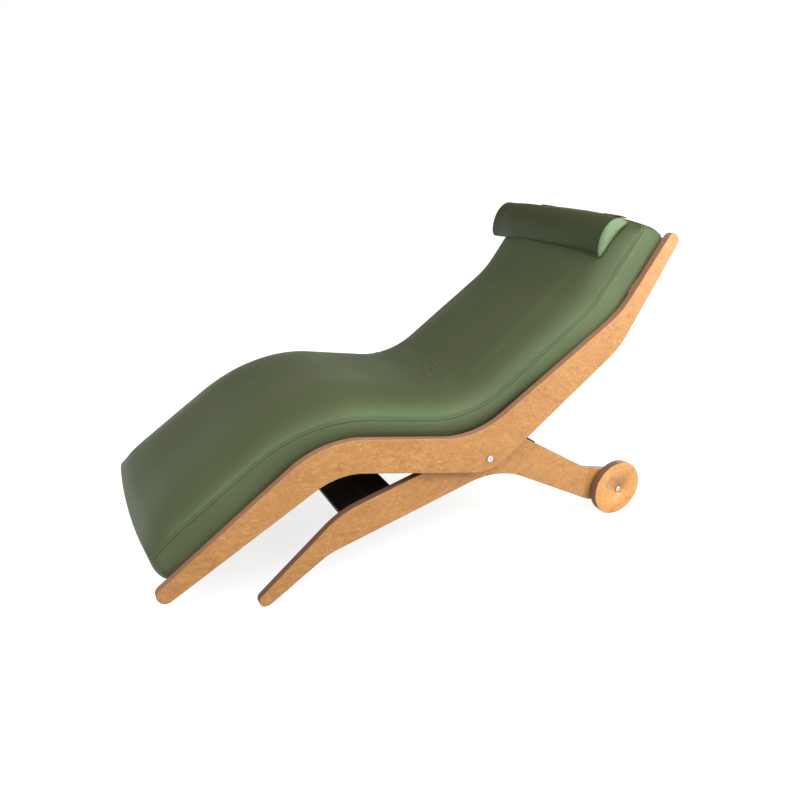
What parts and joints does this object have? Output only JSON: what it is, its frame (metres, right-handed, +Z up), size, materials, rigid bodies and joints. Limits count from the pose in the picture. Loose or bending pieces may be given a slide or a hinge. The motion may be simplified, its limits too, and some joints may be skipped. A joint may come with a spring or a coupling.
{
  "type": "relaxation lounger",
  "caption": "S-shaped reclining lounger in thick plywood with a padded leatherette mattress and neck pillow, tilting on a base with feet in front and disc wheels behind.",
  "frame": {"origin": "on the floor, under the middle of the overall length and width, seat at rest on its front stops", "axes": "+X from the feet towards the head, +Y to the right of the person who lies on it, +Z up"},
  "size_m": [1.7797, 0.7186, 1.057],
  "materials": {
    "birch_plywood": "satin clear lacquer",
    "birch_solid": "satin clear lacquer",
    "slat_wood": "bare sanded",
    "dowel_beech": "bare",
    "green_leatherette": "satin, fine grain",
    "foam": "open cell",
    "filling": "soft",
    "dark_panel": "dark stain",
    "stop_rubber": "matte",
    "zinc_steel": "zinc plated",
    "bush_plastic": "matte"
  },
  "bodies": {
    "base": {"base_plate_left": "birch_plywood", "base_plate_right": "birch_plywood", "cross_panel": "dark_panel", "spreader_beam": "birch_solid", "base_dowels": "dowel_beech", "front_stop_pads": "stop_rubber", "rear_stop_pads": "stop_rubber", "pivot_bolts": "zinc_steel", "pivot_spacers": "bush_plastic", "pivot_nuts": "zinc_steel", "axle_bolts": "zinc_steel", "axle_spacers": "bush_plastic", "axle_nuts": "zinc_steel"},
    "seat": {"side_rail_left": "birch_plywood", "side_rail_right": "birch_plywood", "ledger_left": "birch_solid", "ledger_right": "birch_solid", "calf_slats": "slat_wood", "seat_slats": "slat_wood", "back_slats": "slat_wood", "head_slats": "slat_wood", "foot_cross_rail": "birch_solid", "front_stop_rail": "birch_solid", "rear_stop_rail": "birch_solid", "head_cross_rail": "birch_solid", "seat_dowels": "dowel_beech", "pivot_bushes": "bush_plastic", "mattress_cover": "green_leatherette", "mattress_foam": "foam"},
    "wheel_left_body": {"wheel_left": "birch_plywood", "wheel_bush_left": "bush_plastic"},
    "wheel_right_body": {"wheel_right": "birch_plywood", "wheel_bush_right": "bush_plastic"},
    "pillow": {"pillow_cover": "green_leatherette", "pillow_filling": "filling", "pillow_strap_left": "green_leatherette", "pillow_strap_right": "green_leatherette"}
  },
  "joints": [
    {"name": "seat_tilt", "type": "hinge", "parent": "base", "child": "seat", "pos_m": [0.18445, 0, 0.337], "axis": [0, 1, 0], "range_deg": [0, 15]},
    {"name": "wheel_spin_left", "type": "hinge", "parent": "base", "child": "wheel_left_body", "pos_m": [0.73645, -0.3405, 0.1], "axis": [0, 1, 0], "continuous": true},
    {"name": "wheel_spin_right", "type": "hinge", "parent": "base", "child": "wheel_right_body", "pos_m": [0.73645, 0.3405, 0.1], "axis": [0, 1, 0], "continuous": true},
    {"name": "pillow_slide", "type": "slide", "parent": "seat", "child": "pillow", "axis": [0.6011, 0, 0.7991], "range_m": [0, 0.04]}
  ]
}
